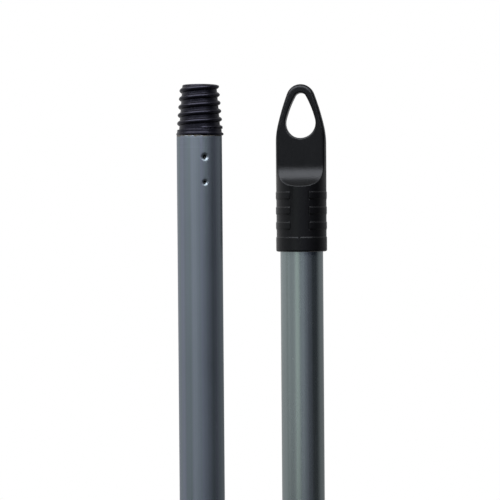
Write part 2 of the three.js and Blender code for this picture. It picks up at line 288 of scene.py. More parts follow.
class Shader:
    """A node tree that is built by expressions."""

    def __init__(self, tree):
        self.tree = tree

    def node(self, kind, settings=None, inputs=None, output=0):
        """Adds a node of that kind with its settings, then its inputs, and gives a Wire."""
        made = self.tree.nodes.new(kind)
        for key, value in (settings or {}).items():
            setattr(made, key, value)
        for key, value in (inputs or {}).items():
            self.feed(made.inputs[key], value)
        return Wire(self, made.outputs[output])

    def feed(self, socket, value):
        if isinstance(value, Wire):
            self.tree.links.new(value.socket, socket)
        elif socket.type == "RGBA" and len(value) == 3:
            socket.default_value = (*value, 1)
        else:
            socket.default_value = value

    def axes(self, point):
        """X, Y and Z of a point."""
        split = self.node("ShaderNodeSeparateXYZ", inputs={0: point})
        outputs = split.socket.node.outputs
        return [Wire(self, outputs[i]) for i in range(3)]

    def vector(self, operation, inputs, output=0):
        return self.node("ShaderNodeVectorMath", {"operation": operation}, inputs, output)

    def scaled(self, colour, factor):
        return self.vector("SCALE", {0: colour, "Scale": factor})

    def mix(self, first, second, factor):
        """first where factor is 0 and second where it is 1."""
        settings = {"data_type": "RGBA", "clamp_factor": True}
        made = self.node("ShaderNodeMix", settings, {"Factor": factor}, output=2)
        node = made.socket.node
        self.feed(node.inputs[6], first)
        self.feed(node.inputs[7], second)
        return made

    def bump(self, height, depth, normal=None):
        """Raises the surface by height times depth, in metres."""
        inputs = {"Height": height, "Distance": depth, "Strength": 1.0}
        if normal is not None:
            inputs["Normal"] = normal
        return self.node("ShaderNodeBump", inputs=inputs)

    def rays(self):
        """Two values, 1 for camera rays and 1 for glossy rays, and 0 for any other."""
        kinds = ("Is Camera Ray", "Is Glossy Ray")
        return [self.node("ShaderNodeLightPath", output=kind) for kind in kinds]


class Surface(Shader):
    """A material with one Principled shader. Its place is the point in the piece's own axes."""

    def __init__(self, name):
        self.material = bpy.data.materials.new(name)
        self.material.use_nodes = True
        super().__init__(self.material.node_tree)
        self.principled = self.tree.nodes["Principled BSDF"]
        self.place = self.node("ShaderNodeTexCoord", output="Object")

    def stretched(self, x, y, z):
        return self.vector("MULTIPLY", {0: self.place, 1: (x, y, z)})

    def noise(self, scale, detail=3, roughness=0.5, stretch=None):
        """Noise over the piece, drawn out along the axes whose stretch is under 1."""
        place = self.stretched(*stretch) if stretch else self.place
        inputs = {"Vector": place, "Scale": scale, "Detail": detail, "Roughness": roughness}
        return self.node("ShaderNodeTexNoise", inputs=inputs)

    def set(self, **inputs):
        """Feeds the Principled shader's sockets, named with _ for a space."""
        for key, value in inputs.items():
            self.feed(self.principled.inputs[key.replace("_", " ")], value)


# ---- meshes


def new_object(name, data):
    """An object in the scene that holds a mesh, a lamp or a camera."""
    made = bpy.data.objects.new(name, data)
    bpy.context.scene.collection.objects.link(made)
    return made


def new_piece(name, vertices, faces, material, place):
    """A smooth-shaded mesh object with its vertices in its own axes."""
    mesh = bpy.data.meshes.new(name)
    mesh.from_pydata([tuple(v) for v in vertices], [], faces)
    mesh.materials.append(material)
    mesh.shade_smooth()
    piece = new_object(name, mesh)
    piece.matrix_world = place
    return piece


def stand_for(piece, node, body):
    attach(piece, body)
    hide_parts(node)


def round_angles(count):
    return np.arange(count) * (2 * math.pi / count)


def ring(radius, height, angles):
    """One ring of points. radius and height are numbers or one value for each angle."""
    radius = np.broadcast_to(radius, angles.shape)
    height = np.broadcast_to(height, angles.shape)
    return np.stack([radius * np.cos(angles), radius * np.sin(angles), height], axis=1)


def rings_of(profile, angles):
    """Rings from pairs of a radius and a height."""
    return [ring(radius, height, angles) for radius, height in profile]


def bands(count, columns, first=0, closed=False):
    """Quads between rings that follow each other, from vertex number first."""
    column = np.arange(columns)
    following = np.roll(column, -1)
    faces = []
    for i in range(count if closed else count - 1):
        low = first + i * columns
        high = first + (i + 1) % count * columns
        quads = np.stack([low + column, low + following, high + following, high + column], 1)
        faces.extend(quads.tolist())
    return faces


def fan(rim, hub):
    """Triangles from a rim of vertex numbers to one vertex."""
    return [[int(a), int(b), hub] for a, b in zip(rim, np.roll(rim, -1))]


def lathe(rings, closed=False):
    """Vertices and faces of rings stacked in order. A closed lathe joins the last ring to the
    first, and an open one gets a fan at each end."""
    columns = len(rings[0])
    vertices = np.concatenate(rings)
    faces = bands(len(rings), columns, closed=closed)
    if not closed:
        rim, hub = np.arange(columns), len(vertices)
        faces += fan(rim[::-1], hub) + fan(rim + hub - columns, hub + 1)
        vertices = np.concatenate([vertices, [rings[0].mean(0)], [rings[-1].mean(0)]])
    return vertices, faces


def waves(angles, parts):
    """A sum of sines round the axis. Each part is a height, a count and a phase."""
    return sum(height * np.sin(count * angles + phase) for height, count, phase in parts)


def smoothstep(value, low, high):
    x = np.clip((value - low) / (high - low), 0, 1)
    return x * x * (3 - 2 * x)


def rounded_step(value, radius):
    """0 below 0 and 1 from the radius on, with a quarter of an ellipse between."""
    x = 1 - np.clip(value / radius, 0, 1)
    return np.where(value > 0, np.sqrt(1 - x * x), 0)


# ---- tubes

TUBE_COLUMNS = 240
DIMPLE_ROW_STEP = 0.25 * MM
DIMPLE_ZONE_END = 30 * MM
DIMPLE_POWER = 2.5
END_STEPS = 6
SWAGE_ROWS = 10
PLAIN_END_BAND = 1 * MM
# The saw's burr, how ragged it is, and how far, where and how widely it is worn away.
BURR = 0.225 * MM
BURR_RAGGED = 0.025 * MM
BURR_WAVES = ((1, 19, 0), (1, 31, 2))
BURR_WEAR = 0.425 * MM
BURR_WORN_AT = math.radians(291)
BURR_WORN_WIDTH = math.radians(11)
# Heights between which the paint gets turning marks and, past the end, chips off.
TURNED_ZONE = (-9 * MM, -4 * MM)
CHIP_ZONE = (0.65 * MM, 0.85 * MM)
CHIP_WANDER = 2 * MM
# Depths of a dimple between which its wall turns dark: painted shade deep in the pit.
CRIMP_SHADE_ZONE = (0.55 * MM, 0.95 * MM)
CRIMP_SHADE_WANDER = 0.5 * MM
# Near-black of the painted shade in the dimples' pits.
CRIMP_PAINTED_SHADE = (0.012, 0.012, 0.014)
PAINT_PARTS = ("paint", "roughness", "streaks")
# What the streaks add to the paint's colour as shares of it, and how high they stand.
GREENER = Vector((-0.04, 0.01, -0.04))
BLUER = Vector((0.03, -0.01, 0.05))
STREAK_HEIGHT = 0.02 * MM


def dimple_depth(sizes, angles, height):
    """How far the tube's wall is pressed in at one height, for each angle."""
    pressed = np.zeros_like(angles)
    for row in range(2):
        size = sizes.second_dimple if row else 1
        centre = -(sizes.dimple_first + row * sizes.dimple_pitch)
        for side in (0, math.pi):
            toward = sizes.dimple_turn - math.pi / 2 + side
            off = (angles - toward + math.pi) % (2 * math.pi) - math.pi
            across = off * sizes.diameter / 2
            away = np.hypot(across, height - centre) / (sizes.dimple_radius * size)
            pressed += sizes.dimple_depth * size * np.exp(-(away**DIMPLE_POWER))
    return pressed


def tube_mesh(sizes):
    """The tube below its threaded end, which is at height 0: up the outside, round the cut end
    and down the bore, with each dimple pressed in at the full wall."""
    angles = round_angles(TUBE_COLUMNS)
    outer = sizes.diameter / 2
    zone = np.arange(-DIMPLE_ZONE_END, -2 * sizes.swage_length, DIMPLE_ROW_STEP)
    end_zone = np.linspace(-2 * sizes.swage_length, -sizes.edge_radius, SWAGE_ROWS)
    # The second ring keeps the plain end's sharp edge out of the shading of the long side.
    heights = np.concatenate([[-TUBE_LENGTH, PLAIN_END_BAND - TUBE_LENGTH], zone, end_zone])

    def course(height, inset):
        pressed = dimple_depth(sizes, angles, height)
        drawn_in = sizes.swage_depth * smoothstep(height, -sizes.swage_length, 0)
        return ring(outer - inset - pressed - drawn_in, height, angles)

    rings = [course(height, 0) for height in heights]
    end_outer = outer - sizes.swage_depth
    worn = np.exp(-(((angles - BURR_WORN_AT) / BURR_WORN_WIDTH) ** 2))
    burr = BURR - BURR_WEAR * worn + BURR_RAGGED * waves(angles, BURR_WAVES)
    for bend in np.linspace(0, math.pi / 2, END_STEPS):
        inset = sizes.edge_radius * (1 - math.cos(bend))
        height = burr * math.sin(bend) - sizes.edge_radius * (1 - math.sin(bend))
        rings.append(ring(end_outer - inset, height, angles))
    rings.append(ring(end_outer - sizes.wall, burr, angles))
    rings.extend(course(height, sizes.wall) for height in heights[::-1])
    return lathe(rings, closed=True)


def paint_material(name, paint, roughness, streaks, finishes):
    """Satin powder paint on drawn steel: fine draw lines along the tube with a little change of
    hue, turning marks at its end, a faint peel, small scuffs, bare metal where the cut end has
    lost its paint, and painted shade deep in each dimple."""
    shader = Surface(name)
    z = shader.axes(shader.place)[2]
    draw_lines = shader.noise(900, detail=2, stretch=(1, 1, 0.002))
    soft_bands = shader.noise(330, detail=2, stretch=(1, 1, 0.003))
    turned = shader.noise(1500, detail=1, stretch=(0.01, 0.01, 1))
    near_end = z.rise(*TURNED_ZONE)
    cloud = shader.noise(22)
    peel = shader.noise(1300, detail=1)
    scuff = shader.noise(420, detail=4, roughness=0.65, stretch=(1, 1, 0.35))
    scuffed = scuff.rise(0.70, 0.78)

    sway = STREAK_HEIGHT * streaks
    lines = ((draw_lines - 0.5) * 0.2 + (soft_bands - 0.5) * 0.3) * streaks
    shade = 1 + lines + (cloud - 0.5) * 0.1 + (turned - 0.5) * near_end * 0.2 + scuffed * 0.12
    hues = [Vector(paint) * (Vector((1, 1, 1)) + more * streaks) for more in (GREENER, BLUER)]
    hue = shader.mix(*hues, soft_bands.rise(0.35, 0.65))

    bare = (z + shader.noise(800) * CHIP_WANDER).rise(*CHIP_ZONE)
    across = shader.vector("LENGTH", {0: shader.stretched(1, 1, 0)}, output="Value")
    # How deep the wall is pressed in, for the painted shade that darkens the dimples' pits.
    pressed = TUBE_DIAMETER / 2 - across + (scuff - 0.5) * CRIMP_SHADE_WANDER
    coat = shader.mix(shader.scaled(hue, shade), CRIMP_PAINTED_SHADE, pressed.rise(*CRIMP_SHADE_ZONE))
    satin = roughness + (cloud - 0.5) * 0.08 + (draw_lines - 0.5) * 0.06
    banded = shader.bump(soft_bands, sway)
    shader.set(
        Base_Color=shader.mix(coat, finishes.bare_metal, bare),
        Metallic=finishes.flake + bare * (1 - finishes.flake),
        Roughness=satin + scuffed * 0.1 + bare * 0.15,
        Normal=shader.bump(draw_lines * 0.35 + peel * 0.65, 0.25 * sway, banded),
    )
    return shader.material


class HANDLES_OT_tubes(bpy.types.Operator):
    """Make the two painted tubes, with their crimp dimples and cut ends"""

    bl_idname = "handles.tubes"
    bl_label = "Painted tubes"

    def execute(self, context):
        finishes = context.scene.handle_finishes
        meshed = tube_mesh(context.scene.handle_tube)
        # Each handle gets its own copy of one paint, lit and shaded apart: painted light on B, painted
        # shade on A.
        for handle, slot in (("a", "paint_bluish_grey"), ("b", "paint_greenish_grey")):
            look = [getattr(finishes, f"{part}_{handle}") for part in PAINT_PARTS]
            material = paint_material(slot, *look, finishes)
            place = threaded_end(handle)
            tube = new_piece(f"painted_tube_{handle}", *meshed, material, place)
            stand_for(tube, f"handle_{handle}_tube", f"handle_{handle}")
            # The photo's handles don't show in each other's paint.
            tube.visible_glossy = False
        return {"FINISHED"}


# ---- threaded tips

TIP_COLUMNS = 192
ROWS_PER_TURN = 36
TOP_EDGE = 0.5 * MM
TOP_RINGS = (0.9, 0.5, 0.1)
FILLET_HEIGHT = 0.8 * MM
FILLET_WIDTH = 0.4 * MM
# The core has a low step above the flange, wider on the -X side, where its sprue was, and higher
# on the +X side, where the thread grows out of it. A span is of cosines.
STEP_HEIGHT = 1.6 * MM
STEP_RISE = 0.7 * MM
STEP_RISE_SPAN = (0.3, 0.9)
STEP_WIDTH = 0.9 * MM
STEP_LEAST = 0.6
STEP_WIDTH_SPAN = (0.5, 0.95)
STEP_EDGE = 0.15 * MM
# The bead starts as the thin upper part of its later section, and is cut down at the top.
BEAD_POWER = 0.85
THIN_TURNS = (math.radians(25), math.radians(145))
THIN_SHARE = 0.55
THIN_LIFT = 0.5 * MM
LEAST_CREST = 0.1
FLANGE_ROUND_STEPS = 5
FLANGE_ROUNDING = 0.35 * MM
FLANGE_WOBBLE = 0.07 * MM
FLANGE_WAVES = ((0.625, 3, 1), (0.375, 7, 0))
POCKET_ROWS = np.arange(1 * MM, DIMPLE_ZONE_END, 0.5 * MM)
SPIGOT_CHAMFER = 1 * MM
# The tips sit this far aside in the tubes, within the fit.
TIP_ASIDE = 0.28 * MM
TIP_GRAIN_HEIGHT = 0.01 * MM
TIP_FLOW_HEIGHT = 0.05 * MM
TIP_SHEEN = (0.70, 0.70, 1.0, 1)


def thread_surface(sizes, angles, base):
    """Radius and height of the thread's points, one line of them for each angle, and the core's
    radius at the flange. The lines step along the helix, so the bead stays crisp, and those
    points that are past the flange or the top stop there."""
    turn = angles[:, None]
    reach = TIP_HEIGHT - base
    width = STEP_LEAST + (1 - STEP_LEAST) * smoothstep(-np.cos(turn), *STEP_WIDTH_SPAN)
    step_top = base + STEP_HEIGHT + STEP_RISE * smoothstep(np.cos(turn), *STEP_RISE_SPAN)

    def left_at_top(height):
        return 1 - np.clip((height - TIP_HEIGHT) / TOP_EDGE + 1, 0, 1) ** 2

    def core(height):
        taper = (sizes.root_top - sizes.root_base) * (height - base) / reach
        near_flange = np.clip((base - height) / FILLET_HEIGHT + 1, 0, 1)
        fillet = FILLET_WIDTH * (1 - width) * (1 - np.sqrt(1 - near_flange**2))
        step = STEP_WIDTH * width * rounded_step(step_top - height, STEP_EDGE)
        edge = TOP_EDGE * (1 - np.sqrt(left_at_top(height)))
        return (sizes.root_base + taper) / 2 + fillet + step - edge

    steps = np.arange((math.ceil(reach / sizes.pitch) + 3) * ROWS_PER_TURN)
    whole_turns = steps // ROWS_PER_TURN + math.floor(sizes.start_turn / (2 * math.pi)) - 1
    phase = steps % ROWS_PER_TURN / ROWS_PER_TURN
    past_start = turn + whole_turns * 2 * math.pi - sizes.start_turn
    bead_middle = base + sizes.start_height + past_start / (2 * math.pi) * sizes.pitch
    height = np.clip(bead_middle + (phase - 0.5) * sizes.pitch, base, TIP_HEIGHT)
    thin = 1 - smoothstep(past_start, *THIN_TURNS)
    bead_width = sizes.bead_width * (1 - THIN_SHARE * thin)
    across = np.clip(2 * (height - bead_middle - THIN_LIFT * thin) / bead_width, -1, 1)
    depth = sizes.depth_base + (sizes.depth_top - sizes.depth_base) * (height - base) / reach
    bead = depth * smoothstep(past_start, 0, sizes.run_in) * (1 - across**2) ** BEAD_POWER
    bead *= np.sqrt(np.maximum(left_at_top(height), LEAST_CREST))
    return core(height) + bead, height, core(base)[:, 0]


def under_thread(sizes, tube, angles, base):
    """Rings from the cored hole's roof down the hole, up the spigot with its dimple pockets, and
    round the flange's edge."""
    bends = np.linspace(0, math.pi / 2, FLANGE_ROUND_STEPS + 1)
    from_flat = [FLANGE_ROUNDING * (1 - math.cos(bend)) for bend in bends]
    from_side = [FLANGE_ROUNDING * (1 - math.sin(bend)) for bend in bends]
    edge = FLANGE_DIAMETER / 2 + FLANGE_WOBBLE * (waves(angles, FLANGE_WAVES) - 1)
    spigot = tube.diameter / 2 - tube.wall - sizes.fit_gap
    hole = sizes.core_diameter / 2
    profile = [
        *((edge - side, base - flat) for flat, side in zip(from_flat, from_side)),
        *((edge - flat, sizes.seat_gap + side) for flat, side in zip(from_flat, from_side)),
        (spigot, sizes.seat_gap),
        *((spigot - dimple_depth(tube, angles, -depth), -depth) for depth in POCKET_ROWS),
        (spigot, SPIGOT_CHAMFER - SPIGOT_LENGTH),
        (spigot - SPIGOT_CHAMFER, -SPIGOT_LENGTH),
        (hole, -SPIGOT_LENGTH),
        (hole, TIP_HEIGHT - sizes.core_roof),
    ]
    return rings_of(profile[::-1], angles)


def tip_mesh(sizes, tube):
    """The whole tip, with the tube's end at height 0."""
    angles = round_angles(TIP_COLUMNS)
    base = sizes.seat_gap + sizes.flange_thickness
    radius, height, core = thread_surface(sizes, angles, base)
    below = under_thread(sizes, tube, angles, base)
    below.append(ring(core, base, angles))
    rim = np.arange(TIP_COLUMNS)
    top_radii = [radius[rim, np.argmax(height >= TIP_HEIGHT, axis=1)]]
    top_radii.extend(inward * sizes.root_top / 2 for inward in TOP_RINGS)
    above = rings_of([(top, TIP_HEIGHT) for top in top_radii], angles)

    high_start = len(below) * TIP_COLUMNS
    hub = high_start + len(above) * TIP_COLUMNS
    faces = bands(len(below), TIP_COLUMNS) + bands(len(above), TIP_COLUMNS, high_start)
    faces += fan(rim[::-1], hub) + fan(rim + hub - TIP_COLUMNS, hub + 1)

    # One vertex for each point between the flange and the top. The others are on their edges.
    low_edge, high_edge = rim + high_start - TIP_COLUMNS, rim + high_start
    index = np.where(height <= base, low_edge[:, None], high_edge[:, None])
    inner = (height > base) & (height < TIP_HEIGHT)
    index[inner] = hub + 2 + np.arange(inner.sum())
    turn = angles[:, None]
    points = np.stack([radius * np.cos(turn), radius * np.sin(turn), height], axis=2)[inner]
    vertices = np.concatenate([*below, *above, [below[0].mean(0)], [above[-1].mean(0)], points])

    # After the last line comes the first, a turn further up the helix.
    following = np.roll(index, -1, axis=0)
    following[-1] = np.append(index[0, ROWS_PER_TURN:], [high_start] * ROWS_PER_TURN)
    quads = np.stack([index[:, :-1], following[:, :-1], following[:, 1:], index[:, 1:]], axis=2)
    for quad in quads.reshape(-1, 4).tolist():
        corners = [corner for k, corner in enumerate(quad) if corner != quad[k - 1]]
        if len(corners) > 2:
            faces.append(corners)
    return vertices, faces


def tip_material(finishes):
    """Moulded black plastic with a soft sheen, faint flow marks and worn specks."""
    shader = Surface("tip_plastic")
    grain = shader.noise(2600, detail=2)
    flow = shader.noise(260, stretch=(1, 1, 0.5))
    wear = shader.noise(700, detail=4, roughness=0.6).rise(0.62, 0.75)
    tint = 0.85 + flow * 0.4 + wear * 0.5
    shader.set(
        Base_Color=shader.scaled(finishes.plastic_tip, tint),
        Roughness=0.34 + (flow - 0.5) * 0.14 + wear * 0.1,
        Specular_IOR_Level=0.32,
        Specular_Tint=TIP_SHEEN,
        Normal=shader.bump(grain, TIP_GRAIN_HEIGHT, shader.bump(flow, TIP_FLOW_HEIGHT)),
    )
    return shader.material


class HANDLES_OT_threaded_tips(bpy.types.Operator):
    """Make the two threaded tips, with their conical beads, flanges and spigots"""

    bl_idname = "handles.threaded_tips"
    bl_label = "Threaded tips"

    def execute(self, context):
        material = tip_material(context.scene.handle_finishes)
        meshed = tip_mesh(context.scene.handle_tip, context.scene.handle_tube)
        for handle in "ab":
            place = threaded_end(handle) @ Matrix.Translation((TIP_ASIDE, 0, 0))
            tip = new_piece(f"threaded_end_{handle}", *meshed, material, place)
            stand_for(tip, f"handle_{handle}_threaded_tip", f"handle_{handle}")
        return {"FINISHED"}


# ---- hanging caps

CAP_COLUMNS = 288
# Extra columns on each side of the ribs' inner ends, and the least step that is kept.
EDGE_COLUMNS = 6
EDGE_COLUMN_STEP = math.radians(0.22)
LEAST_COLUMN_STEP = math.radians(0.1)
RIB_COUNT = 3
RIB_END = 0.12 * MM
RIB_CORNER = 0.5 * MM
# A fine groove runs along the foot of each rib's inner end.
GROOVE_WIDTH = 0.16 * MM
GROOVE_DEPTH = 0.25 * MM
# The upper edges of ribs and collar reach this far above and below their height.
EDGE_TOE = 0.32 * MM
EDGE_TOP = 0.25 * MM
NOTCH_WIDTH = 1 * MM
NOTCH_DEPTH = 4 * MM
NOTCH_ASIDE = -0.3 * MM
# The rounding of the scooped faces' edges low on the cap, and what it gains between two heights.
# The outline's own is what the edge between grip and outline gains in the same way.
FACE_ROUNDING = 0.3 * MM
PADDLE_ROUNDING = (0.7 * MM, 36 * MM, 48 * MM)
LOOP_ROUNDING = (1 * MM, 52 * MM, 68 * MM)
OUTLINE_ROUNDING = (0.5 * MM, 56 * MM, 64 * MM)
# Steps between the rows of points, and counts of rows.
EDGE_ROW = 0.055 * MM
LEAST_ROW = 0.6 * EDGE_ROW
MOUTH_ROW = 0.13 * MM
GRIP_ROW = 0.6 * MM
SHOULDER_ROW = 0.4 * MM
EDGE_ROWS = np.arange(-10, 6) * EDGE_ROW
SCOOP_ROWS = np.arange(33 * MM, 46 * MM, 0.16 * MM)
SLANT_ROWS = 8
LOOP_ROWS = 60
LOOP_END = math.radians(88.5)
SOLVE_STEPS = 34
SOLVE_REACH = 1 * MM
COLLAR_EDGE_RADIUS = 0.9 * MM
MOUTH_CHAMFER = 0.5 * MM
SOCKET_HUB = 0.05
EYE_POINTS = 60
RIM_BENDS = np.radians(np.linspace(0, 86, 13))
# How wide the eye's plug ends past a face, in rims, and how far out that is.
PLUG_FLARE = 1.6
PLUG_PAST = 1.2 * MM
CAP_GRAIN_HEIGHT = 0.08 * MM
CAP_SHEEN = (0.88, 0.92, 1.0, 1)
# How far from the middle the parting line fades out, and its height as a share of the grain's.
PARTING_ZONE = (0.05 * MM, 0.14 * MM)
PARTING_SHARE = 0.56


def rounded_max(a, b, radius):
    """The larger of two distances, with the edge where they meet rounded."""
    a, b = a + radius, b + radius
    outside = np.hypot(np.maximum(a, 0), np.maximum(b, 0))
    return outside + np.minimum(np.maximum(a, b), 0) - radius


class CapShape:
    """The cap's outside as distances, negative inside: its round grip with the ribs, the front
    outline of shoulder and loop, and the scooped and tapered faces."""

    def __init__(self, sizes):
        self.sizes = sizes
        self.collar = COLLAR_DIAMETER / 2
        self.grip = self.collar - sizes.rib_proud
        self.shoulder = self.grip + sizes.flare
        self.flat = sizes.paddle_base / 2
        self.arc_depth = self.flat + sizes.scoop_radius
        taper = (sizes.paddle_top - sizes.paddle_base) / 2
        self.taper = taper / (CAP_LENGTH - sizes.paddle_start)
        self.set_outline()
        self.set_eye()

    def rib_feet(self):
        return self.sizes.rib_first + np.arange(RIB_COUNT) * self.sizes.rib_pitch

    def set_outline(self):
        sizes = self.sizes
        sweep = sizes.shoulder_sweep
        across = np.array([math.cos(sweep), math.sin(sweep)])
        self.loop_top = np.array([0, CAP_LENGTH - sizes.loop_radius])
        shoulder_middle = self.shoulder - sizes.shoulder_radius
        self.shoulder_centre = np.array([shoulder_middle, sizes.shoulder_start])
        hand_over = self.shoulder_centre + sizes.shoulder_radius * across
        reach = hand_over - self.loop_top
        excess = reach @ across - sizes.loop_radius
        self.side_radius = (reach @ reach - sizes.loop_radius**2) / (2 * excess)
        self.side_centre = hand_over - self.side_radius * across
        to_top = self.loop_top - self.side_centre
        self.side_end = math.atan2(to_top[1], to_top[0])

    def set_eye(self):
        sizes = self.sizes
        self.eye_top_height = CAP_LENGTH - sizes.loop_bar - sizes.eye_top
        self.eye_bottom_height = self.eye_top_height - sizes.eye_centres
        to_bottom = sizes.eye_side - sizes.eye_bottom
        to_top = sizes.eye_side - sizes.eye_top
        squares = to_bottom**2 - to_top**2 + self.eye_top_height**2 - self.eye_bottom_height**2
        self.eye_side_height = squares / (2 * sizes.eye_centres)
        drop = self.eye_side_height - self.eye_bottom_height
        rise = self.eye_top_height - self.eye_side_height
        self.eye_side_offset = math.sqrt(to_bottom**2 - drop**2)
        self.eye_low = math.atan2(-drop, self.eye_side_offset)
        self.eye_high = math.atan2(rise, self.eye_side_offset)

    def outline(self, x, z):
        """Distance to the front outline, whose arcs hand over along shared radii."""
        sizes = self.sizes
        x = np.abs(x)
        straight = x - self.shoulder

        def arc(centre, radius):
            return np.hypot(x - centre[0], z - centre[1]) - radius

        def bearing(centre):
            return np.arctan2(z - centre[1], x - centre[0])

        loop = arc(self.loop_top, sizes.loop_radius)
        side = arc(self.side_centre, self.side_radius)
        shoulder = arc(self.shoulder_centre, sizes.shoulder_radius)
        upper = np.where(bearing(self.side_centre) > self.side_end, loop, side)
        turned = bearing(self.shoulder_centre) > sizes.shoulder_sweep
        lower = np.where(turned, upper, shoulder)
        return np.where(z > sizes.shoulder_start, lower, straight)

    def face(self, y, z):
        """Distance to the scooped and tapered front and back."""
        sizes = self.sizes
        y = np.abs(y)
        flat = y - self.half_depth(z)
        in_y, in_z = y - self.arc_depth, z - sizes.paddle_start
        arc = sizes.scoop_radius - np.hypot(in_y, in_z)
        below = np.arctan2(-in_z, -in_y)
        slope = sizes.scoop_slope
        line = (in_y * math.cos(slope) + in_z * math.sin(slope)) + sizes.scoop_radius
        return np.where(below < 0, flat, np.where(below < slope, arc, line))

    def half_depth(self, z):
        return self.flat + self.taper * (z - self.sizes.paddle_start)

    def grip_radius(self, x, z):
        """Radius of the turned body with its flare, ribs, collar and the collar's notch."""
        sizes = self.sizes
        flare_from = sizes.collar_height
        flare = np.clip((z - flare_from) / (sizes.flare_height - flare_from), 0, 1)
        beside = sizes.panel_width / 2 - np.abs(x)
        proud = np.zeros_like(x)
        groove = np.zeros_like(x)
        foot = np.exp(-((beside / GROOVE_WIDTH) ** 2))
        for low in self.rib_feet():
            high = low + sizes.rib_width
            past = np.maximum(low - z, z - high - EDGE_TOE)
            edge = rounded_max(beside, past, RIB_CORNER)
            slant = smoothstep(z, low, low + sizes.rib_slant)
            upper_edge = smoothstep(high - z, -EDGE_TOE, EDGE_TOP)
            proud = np.maximum(proud, slant * upper_edge * rounded_step(-edge, RIB_END))
            groove = np.maximum(groove, foot * smoothstep(-past, 0, RIB_CORNER))
        beside_notch = smoothstep(np.abs(x - NOTCH_ASIDE), 0, NOTCH_WIDTH)
        edge = NOTCH_DEPTH + (EDGE_TOP - NOTCH_DEPTH) * beside_notch
        proud = np.maximum(proud, smoothstep(sizes.collar_height - z, -EDGE_TOE, edge))
        standing = sizes.rib_proud * proud - GROOVE_DEPTH * groove
        return self.grip + sizes.flare * flare + standing

    def outside(self, x, y, z):
        """Distance to the whole outside, without the eye."""

        def gained(rounding, low, high):
            return rounding * smoothstep(z, low, high)

        turned = np.hypot(x, y) - self.grip_radius(x, z)
        body = rounded_max(turned, self.outline(x, z), gained(*OUTLINE_ROUNDING))
        rounding = FACE_ROUNDING + gained(*PADDLE_ROUNDING) + gained(*LOOP_ROUNDING)
        return rounded_max(body, self.face(y, z), rounding)


def cap_heights(shape):
    """Heights of the cap's rows: close together at the collar, the ribs and the scoop, and on
    the loop's top evenly along its arc."""
    sizes = shape.sizes
    loop_start = shape.loop_top[1] + sizes.loop_radius * math.sin(shape.side_end)
    up_loop = np.linspace(shape.side_end, LOOP_END, LOOP_ROWS)
    rows = [
        np.arange(0, COLLAR_EDGE_RADIUS, MOUTH_ROW),
        np.arange(COLLAR_EDGE_RADIUS, sizes.shoulder_start, GRIP_ROW),
        sizes.collar_height + EDGE_ROWS,
        SCOOP_ROWS,
        np.arange(sizes.shoulder_start, loop_start, SHOULDER_ROW),
        shape.loop_top[1] + sizes.loop_radius * np.sin(up_loop),
    ]
    for low in shape.rib_feet():
        rows.append(np.linspace(low, low + sizes.rib_slant, SLANT_ROWS))
        rows.append(low + sizes.rib_width + EDGE_ROWS)
    heights = np.unique(np.concatenate(rows))
    kept = [heights[0]]
    for height in heights[1:]:
        if height - kept[-1] > LEAST_ROW or height > loop_start:
            kept.append(height)
    return np.array(kept)


def cap_angles(shape):
    """Even columns, with extra ones where the ribs end at the smooth panels."""
    half_panel = math.asin(shape.sizes.panel_width / 2 / shape.grip)
    near = np.arange(-EDGE_COLUMNS, EDGE_COLUMNS + 1) * EDGE_COLUMN_STEP
    edges = [math.pi * turns + side * half_panel for turns in (0.5, 1.5) for side in (-1, 1)]
    columns = [round_angles(CAP_COLUMNS), *(edge + near for edge in edges)]
    angles = np.unique(np.concatenate(columns))
    gaps = np.diff(angles, append=angles[0] + 2 * math.pi)
    return angles[gaps > LEAST_COLUMN_STEP]


def cap_mesh(shape, tube):
    """The cap without its eye: the socket, the mouth's edge, and rows of points found on the
    outside by halving, up to a narrow slit along the loop's top."""
    angles = cap_angles(shape)
    heights = cap_heights(shape)
    turn, height = np.meshgrid(angles, heights)
    low = np.zeros_like(turn)
    high = np.full_like(turn, shape.collar + SOLVE_REACH)
    for _ in range(SOLVE_STEPS):
        half = (low + high) / 2
        inside = shape.outside(half * np.cos(turn), half * np.sin(turn), height) < 0
        low = np.where(inside, half, low)
        high = np.where(inside, high, half)
    radius = (low + high) / 2
    near_mouth = np.clip(COLLAR_EDGE_RADIUS - height, 0, COLLAR_EDGE_RADIUS)
    radius -= COLLAR_EDGE_RADIUS - np.sqrt(COLLAR_EDGE_RADIUS**2 - near_mouth**2)

    socket = tube.diameter / 2 + shape.sizes.fit_gap
    depth = CAP_COVER + shape.sizes.fit_gap
    profile = [
        (socket * SOCKET_HUB, depth),
        (socket, depth),
        (socket, MOUTH_CHAMFER),
        (socket + MOUTH_CHAMFER, 0),
        *zip(radius, heights),
    ]
    return lathe(rings_of(profile, angles))


def eye_outline(shape):
    """Points round the eye with their outward normals: wide end, side, narrow end, side."""
    sizes = shape.sizes
    low, high = shape.eye_low, shape.eye_high
    side, height = shape.eye_side_offset, shape.eye_side_height
    arcs = [
        (0, shape.eye_bottom_height, sizes.eye_bottom, math.pi - low, 2 * math.pi + low),
        (-side, height, sizes.eye_side, low, high),
        (0, shape.eye_top_height, sizes.eye_top, high, math.pi - high),
        (side, height, sizes.eye_side, math.pi - high, math.pi - low),
    ]
    points, normals = [], []
    for x, z, radius, start, end in arcs:
        for bearing in np.linspace(start, end, EYE_POINTS, endpoint=False):
            normal = np.array([math.cos(bearing), math.sin(bearing)])
            points.append(np.array([x, z]) + radius * normal)
            normals.append(normal)
    return np.array(points), np.array(normals)


